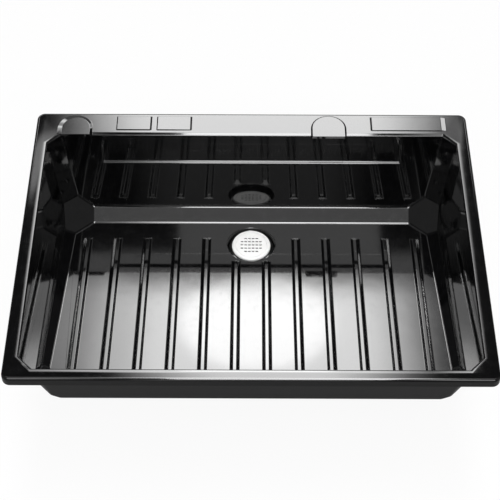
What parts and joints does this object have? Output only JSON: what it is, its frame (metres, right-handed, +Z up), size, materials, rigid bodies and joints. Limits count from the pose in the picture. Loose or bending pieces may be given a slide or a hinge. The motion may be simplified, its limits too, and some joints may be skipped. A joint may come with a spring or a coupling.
{
  "type": "darkroom sink",
  "caption": "Wide moulded darkroom sink with a rear deck, a ribbed floor that falls to the rear, and a drain fitting with a lift-out strainer.",
  "frame": {"origin": "on the underside of the rear deck, on the sink's middle plane, 30 mm in front of the rear edge of the rim, where the rim rests on its stand or counter", "axes": "+Z up, the front of the sink faces -Y, +X to the right seen from the front"},
  "size_m": [0.914, 0.686, 0.3603],
  "materials": {
    "sink_black": "glossy black moulding, faintly uneven",
    "drain_white": "white moulding, semi-gloss",
    "strainer_white": "white moulding, satin",
    "seal_rubber": "matt black rubber",
    "hard_card": "pressed fibre card",
    "nut_plastic": "white moulding, matt",
    "clear_washer": "soft plastic, slightly cloudy",
    "pipe_plastic": "white pipe, semi-gloss"
  },
  "bodies": {
    "sink": {"sink_body": "sink_black", "drain_body": "drain_white", "flange_gasket": "seal_rubber", "lower_washer": "seal_rubber", "friction_ring": "hard_card", "lock_nut": "nut_plastic", "coupling_nut": "nut_plastic", "tailpiece_washer": "clear_washer", "tailpiece": "pipe_plastic"},
    "strainer": {"strainer_plate": "strainer_white"}
  },
  "joints": [
    {"name": "strainer_lift", "type": "slide", "parent": "sink", "child": "strainer", "axis": [0, 0, 1], "range_m": [0, 0.23]}
  ]
}
